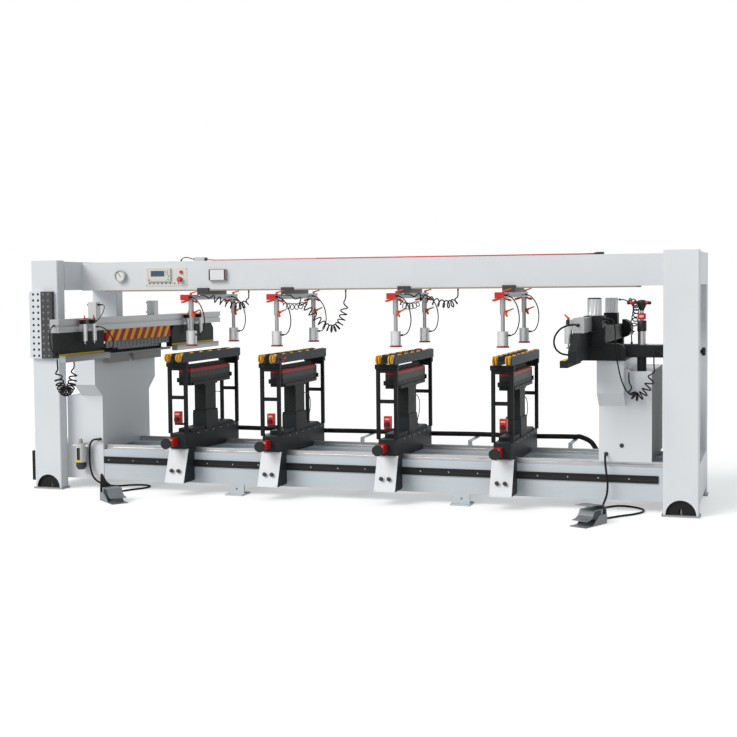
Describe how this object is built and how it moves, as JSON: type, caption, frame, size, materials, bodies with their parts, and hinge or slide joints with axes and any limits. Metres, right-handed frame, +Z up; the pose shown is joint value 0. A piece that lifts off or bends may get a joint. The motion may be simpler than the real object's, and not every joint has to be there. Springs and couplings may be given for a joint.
{
  "type": "line boring machine",
  "caption": "Floor-standing line boring machine: boring units on a bed with spindle rows, press arms on a portal beam, and a fence with a horizontal boring head at each end.",
  "frame": {"origin": "on the floor under the middle of the machine's box", "axes": "+X along the bed to the right end, +Y from the operator's side to the back, +Z up"},
  "size_m": [4.88, 2.676, 1.717],
  "materials": {
    "frame_white": "powder coat, lightly textured",
    "charcoal": "satin paint",
    "steel": "ground",
    "aluminium": "satin anodised",
    "panel_grey": "satin paint",
    "red_plastic": "moulded",
    "crank_red": "satin paint",
    "gauge_white": "moulded",
    "black_plastic": "moulded",
    "pedal_grey": "satin paint",
    "hose_black": "smooth hose"
  },
  "bodies": {
    "frame": {"end_frames": "frame_white", "main_beam": "frame_white", "levelling_feet": "steel", "bed": "frame_white", "guide_rails": "steel", "rack_strip": "charcoal", "control_panel": "panel_grey", "pressure_gauge": "gauge_white", "perforated_plate": "frame_white", "air_filter": "aluminium", "left_column": "frame_white", "left_fence": "aluminium", "left_guard": "charcoal", "left_fence_hose": "hose_black", "left_pedal_hose": "hose_black", "right_pedal_hose": "hose_black", "pedals": "pedal_grey", "rear_conduit": "hose_black", "arm1_hose": "hose_black", "arm2_hose": "hose_black", "arm3_hose": "hose_black"},
    "stop_head": {"emergency_stop": "red_plastic"},
    "left_head": {"left_drill_head": "charcoal"},
    "left_clamps": {"left_clamp_rods": "steel"},
    "right_end": {"right_column": "frame_white", "right_fence": "charcoal", "right_fence_hose": "hose_black"},
    "right_head": {"right_drill_head": "charcoal"},
    "right_clamps": {"right_clamp_rods": "steel"},
    "crank": {"right_crank": "crank_red"},
    "treadle_left": {"left_treadle": "pedal_grey"},
    "treadle_right": {"right_treadle": "pedal_grey"},
    "unit1": {"unit1_carriage": "charcoal", "unit1_front_panel": "frame_white", "unit1_support_frame": "charcoal"},
    "head1": {"unit1_drill_head": "charcoal"},
    "wheel1": {"unit1_handwheel": "black_plastic"},
    "arm1": {"unit1_press_arm": "aluminium"},
    "press1": {"unit1_press_rods": "red_plastic"},
    "unit2": {"unit2_carriage": "charcoal", "unit2_front_panel": "frame_white", "unit2_support_frame": "charcoal"},
    "head2": {"unit2_drill_head": "charcoal"},
    "wheel2": {"unit2_handwheel": "black_plastic"},
    "arm2": {"unit2_press_arm": "aluminium"},
    "press2": {"unit2_press_rods": "red_plastic"},
    "unit3": {"unit3_carriage": "charcoal", "unit3_front_panel": "frame_white", "unit3_support_frame": "charcoal"},
    "head3": {"unit3_drill_head": "charcoal"},
    "wheel3": {"unit3_handwheel": "black_plastic"},
    "arm3": {"unit3_press_arm": "aluminium"},
    "press3": {"unit3_press_rods": "red_plastic"},
    "unit4": {"unit4_carriage": "charcoal", "unit4_front_panel": "frame_white", "unit4_support_frame": "charcoal"},
    "head4": {"unit4_drill_head": "charcoal"},
    "wheel4": {"unit4_handwheel": "black_plastic"},
    "arm4": {"unit4_press_arm": "aluminium"},
    "press4": {"unit4_press_rods": "red_plastic"}
  },
  "joints": [
    {"name": "unit1_slide", "type": "slide", "parent": "frame", "child": "unit1", "axis": [1, 0, 0], "range_m": [-0.2, 0.2]},
    {"name": "head1_lift", "type": "slide", "parent": "unit1", "child": "head1", "axis": [0, 0, 1], "range_m": [0, 0.05]},
    {"name": "wheel1_turn", "type": "hinge", "parent": "unit1", "child": "wheel1", "pos_m": [-1.24, -0.925, 0.386], "axis": [0, -1, 0], "range_deg": [-720, 720]},
    {"name": "arm1_slide", "type": "slide", "parent": "frame", "child": "arm1", "axis": [1, 0, 0], "range_m": [-0.2, 0.2], "deforming": ["arm1_hose"]},
    {"name": "press1_down", "type": "slide", "parent": "arm1", "child": "press1", "axis": [0, 0, -1], "range_m": [0, 0.034], "stiffness_N_per_m": 300, "springref_m": -0.02},
    {"name": "unit2_slide", "type": "slide", "parent": "frame", "child": "unit2", "axis": [1, 0, 0], "range_m": [-0.2, 0.2]},
    {"name": "head2_lift", "type": "slide", "parent": "unit2", "child": "head2", "axis": [0, 0, 1], "range_m": [0, 0.05]},
    {"name": "wheel2_turn", "type": "hinge", "parent": "unit2", "child": "wheel2", "pos_m": [-0.523, -0.925, 0.386], "axis": [0, -1, 0], "range_deg": [-720, 720]},
    {"name": "arm2_slide", "type": "slide", "parent": "frame", "child": "arm2", "axis": [1, 0, 0], "range_m": [-0.2, 0.2], "deforming": ["arm2_hose"]},
    {"name": "press2_down", "type": "slide", "parent": "arm2", "child": "press2", "axis": [0, 0, -1], "range_m": [0, 0.034], "stiffness_N_per_m": 300, "springref_m": -0.02},
    {"name": "unit3_slide", "type": "slide", "parent": "frame", "child": "unit3", "axis": [1, 0, 0], "range_m": [-0.2, 0.2]},
    {"name": "head3_lift", "type": "slide", "parent": "unit3", "child": "head3", "axis": [0, 0, 1], "range_m": [0, 0.05]},
    {"name": "wheel3_turn", "type": "hinge", "parent": "unit3", "child": "wheel3", "pos_m": [0.33, -0.925, 0.386], "axis": [0, -1, 0], "range_deg": [-720, 720]},
    {"name": "arm3_slide", "type": "slide", "parent": "frame", "child": "arm3", "axis": [1, 0, 0], "range_m": [-0.2, 0.2], "deforming": ["arm3_hose"]},
    {"name": "press3_down", "type": "slide", "parent": "arm3", "child": "press3", "axis": [0, 0, -1], "range_m": [0, 0.034], "stiffness_N_per_m": 300, "springref_m": -0.02},
    {"name": "unit4_slide", "type": "slide", "parent": "frame", "child": "unit4", "axis": [1, 0, 0], "range_m": [-0.2, 0.2]},
    {"name": "head4_lift", "type": "slide", "parent": "unit4", "child": "head4", "axis": [0, 0, 1], "range_m": [0, 0.05]},
    {"name": "wheel4_turn", "type": "hinge", "parent": "unit4", "child": "wheel4", "pos_m": [1.128, -0.925, 0.386], "axis": [0, -1, 0], "range_deg": [-720, 720]},
    {"name": "arm4_slide", "type": "slide", "parent": "frame", "child": "arm4", "axis": [1, 0, 0], "range_m": [-0.2, 0.2]},
    {"name": "press4_down", "type": "slide", "parent": "arm4", "child": "press4", "axis": [0, 0, -1], "range_m": [0, 0.034], "stiffness_N_per_m": 300, "springref_m": -0.02},
    {"name": "stop_push", "type": "slide", "parent": "frame", "child": "stop_head", "axis": [0, 1, 0], "range_m": [0, 0.005], "stiffness_N_per_m": 900, "springref_m": -0.001},
    {"name": "left_head_feed", "type": "slide", "parent": "frame", "child": "left_head", "axis": [1, 0, 0], "range_m": [0, 0.05]},
    {"name": "left_clamp_press", "type": "slide", "parent": "frame", "child": "left_clamps", "axis": [0, 0, -1], "range_m": [0, 0.05], "stiffness_N_per_m": 400, "springref_m": -0.02},
    {"name": "right_slide", "type": "slide", "parent": "frame", "child": "right_end", "axis": [1, 0, 0], "range_m": [-0.1, 0.02], "deforming": ["right_pedal_hose"]},
    {"name": "right_head_feed", "type": "slide", "parent": "right_end", "child": "right_head", "axis": [-1, 0, 0], "range_m": [0, 0.05]},
    {"name": "right_clamp_press", "type": "slide", "parent": "right_end", "child": "right_clamps", "axis": [0, 0, -1], "range_m": [0, 0.05], "stiffness_N_per_m": 400, "springref_m": -0.02},
    {"name": "crank_turn", "type": "hinge", "parent": "right_end", "child": "crank", "pos_m": [2.038, -0.62, 1.3], "axis": [0, 0, 1], "continuous": true},
    {"name": "left_treadle_tilt", "type": "hinge", "parent": "frame", "child": "treadle_left", "pos_m": [-1.58862, -1.115, 0.03], "axis": [0.6428, 0.766, 0], "range_deg": [0, 8], "stiffness_Nm_per_rad": 6, "springref_deg": -11.46},
    {"name": "right_treadle_tilt", "type": "hinge", "parent": "frame", "child": "treadle_right", "pos_m": [1.79958, -1.11156, 0.03], "axis": [0.9063, -0.4226, 0], "range_deg": [0, 8], "stiffness_Nm_per_rad": 6, "springref_deg": -11.46}
  ],
  "couplings": [
    {"joint": "wheel1_turn", "follows": "unit1_slide", "rad_per_m": 62.8},
    {"joint": "wheel2_turn", "follows": "unit2_slide", "rad_per_m": 62.8},
    {"joint": "wheel3_turn", "follows": "unit3_slide", "rad_per_m": 62.8},
    {"joint": "wheel4_turn", "follows": "unit4_slide", "rad_per_m": 62.8}
  ]
}
